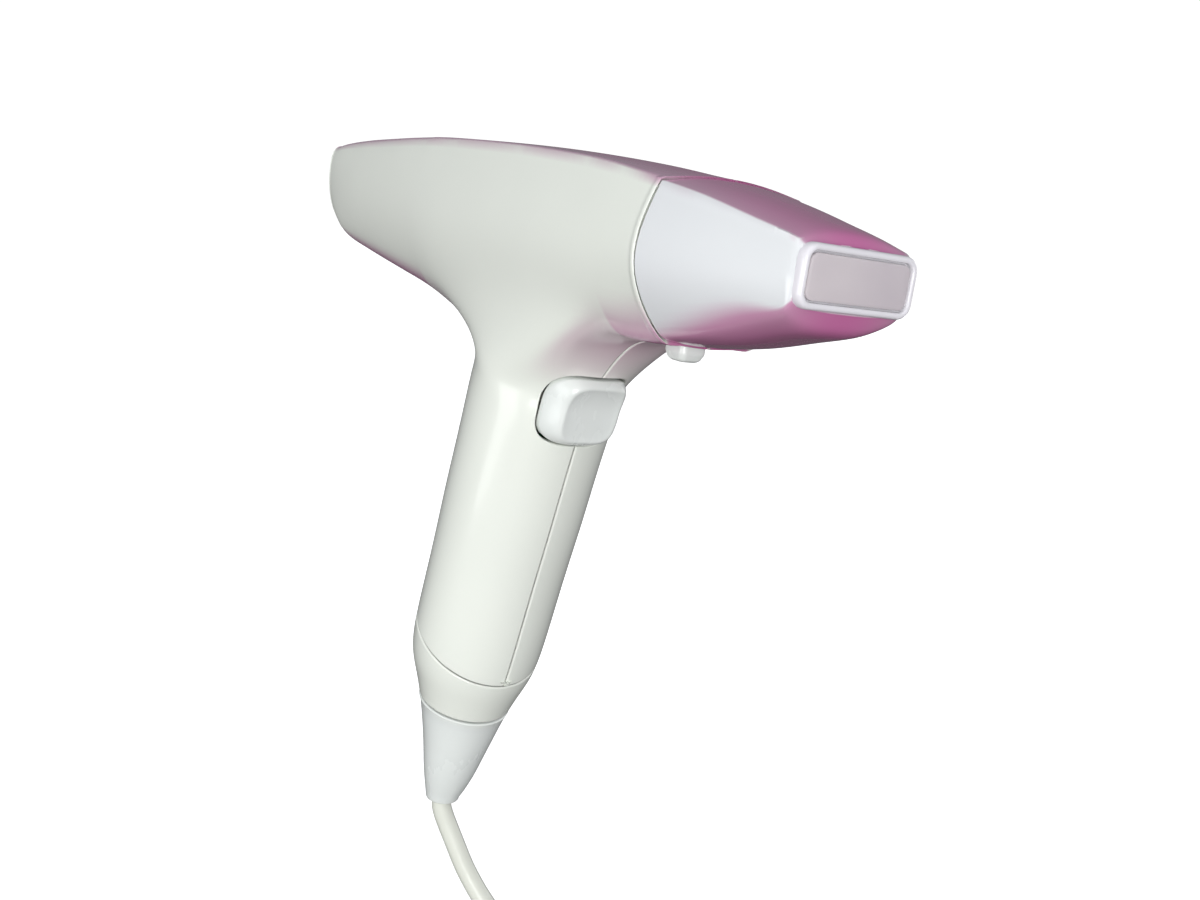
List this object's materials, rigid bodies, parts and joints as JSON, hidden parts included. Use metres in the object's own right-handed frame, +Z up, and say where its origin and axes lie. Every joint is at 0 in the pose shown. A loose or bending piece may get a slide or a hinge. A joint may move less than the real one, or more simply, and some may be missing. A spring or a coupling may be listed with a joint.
{
  "type": "ipl hair remover",
  "caption": "Corded T-shaped light-based hair remover: pistol-style handle with pulse trigger, long head and slide-off lamp cartridge with a window.",
  "frame": {"origin": "middle of the grip, on the handle's centre line", "axes": "+X forward along the head towards the skin, +Y to the handset's left, +Z up; the handle leans back by 11.6 degrees"},
  "size_m": [0.1906, 0.0669, 0.3206],
  "materials": {
    "shell_white": "glossy moulded ABS, warm white with a pearl blush on the crown and belly",
    "shell_white_cap": "glossy moulded ABS, warm white",
    "trim_white": "semi-gloss moulded plastic",
    "nose_white": "glossy moulded ABS, cool white with a pearl blush on the crown and belly",
    "window_pane": "greyish translucent pane",
    "filter_glass": "coated long-pass filter",
    "lamp_quartz": "fused quartz",
    "reflector_aluminium": "polished",
    "steel": "zinc plated",
    "contact_brass": "plated contact",
    "inner_plastic": "natural moulded plastic",
    "dark_plastic": "black moulded plastic",
    "ceramic": "unglazed ceramic",
    "capacitor_sleeve": "shrink sleeve",
    "circuit_board": "solder mask",
    "cord_vinyl": "soft PVC"
  },
  "bodies": {
    "handset": {"right_shell": "shell_white", "left_shell": "shell_white", "handle_end_cap": "shell_white_cap", "cord_boot": "trim_white", "rear_grille": "trim_white", "fan_frame": "dark_plastic", "capacitor": "capacitor_sleeve", "trigger_transformer": "dark_plastic", "cartridge_socket": "inner_plastic", "control_board": "circuit_board", "microswitch_body": "dark_plastic", "switch_bracket": "inner_plastic", "trigger_spring": "steel", "release_spring": "steel", "housing_screw_1": "steel", "housing_screw_2": "steel", "housing_screw_3": "steel", "housing_screw_4": "steel", "housing_screw_5": "steel", "cord_lead": "cord_vinyl", "cord_coil": "cord_vinyl", "cord_tail": "cord_vinyl", "cord_tie": "dark_plastic", "plug_body": "cord_vinyl", "plug_barrel": "steel"},
    "trigger": {"trigger_button": "trim_white"},
    "plunger": {"switch_plunger": "contact_brass"},
    "release": {"release_button": "trim_white"},
    "fan": {"fan_rotor": "dark_plastic"},
    "cartridge": {"nose_shell": "nose_white", "window_frame": "trim_white", "window_glass": "window_pane", "filter_glass": "filter_glass", "reflector": "reflector_aluminium", "flash_lamp": "lamp_quartz", "lamp_electrode_right": "steel", "lamp_electrode_left": "steel", "lamp_holder_right": "ceramic", "lamp_holder_left": "ceramic", "cartridge_base": "inner_plastic", "contact_pin_1": "contact_brass", "contact_pin_2": "contact_brass", "contact_pin_3": "contact_brass"}
  },
  "joints": [
    {"name": "trigger_press", "type": "slide", "parent": "handset", "child": "trigger", "axis": [-0.9796, 0, 0.2011], "range_m": [0, 0.0012], "stiffness_N_per_m": 1500, "springref_m": -0.0008, "deforming": ["trigger_spring"]},
    {"name": "plunger_press", "type": "slide", "parent": "handset", "child": "plunger", "axis": [-0.9796, 0, 0.2011], "range_m": [0, 0.0012]},
    {"name": "release_press", "type": "slide", "parent": "handset", "child": "release", "axis": [0, 0, 1], "range_m": [0, 0.0015], "stiffness_N_per_m": 1200, "springref_m": -0.0008, "deforming": ["release_spring"]},
    {"name": "fan_spin", "type": "hinge", "parent": "handset", "child": "fan", "pos_m": [0.0318, 0, 0.0625], "axis": [1, 0, 0], "continuous": true},
    {"name": "cartridge_slide", "type": "slide", "parent": "handset", "child": "cartridge", "axis": [1, 0, 0], "range_m": [0, 0.05]}
  ],
  "couplings": [
    {"joint": "plunger_press", "follows": "trigger_press", "ratio": 1}
  ]
}
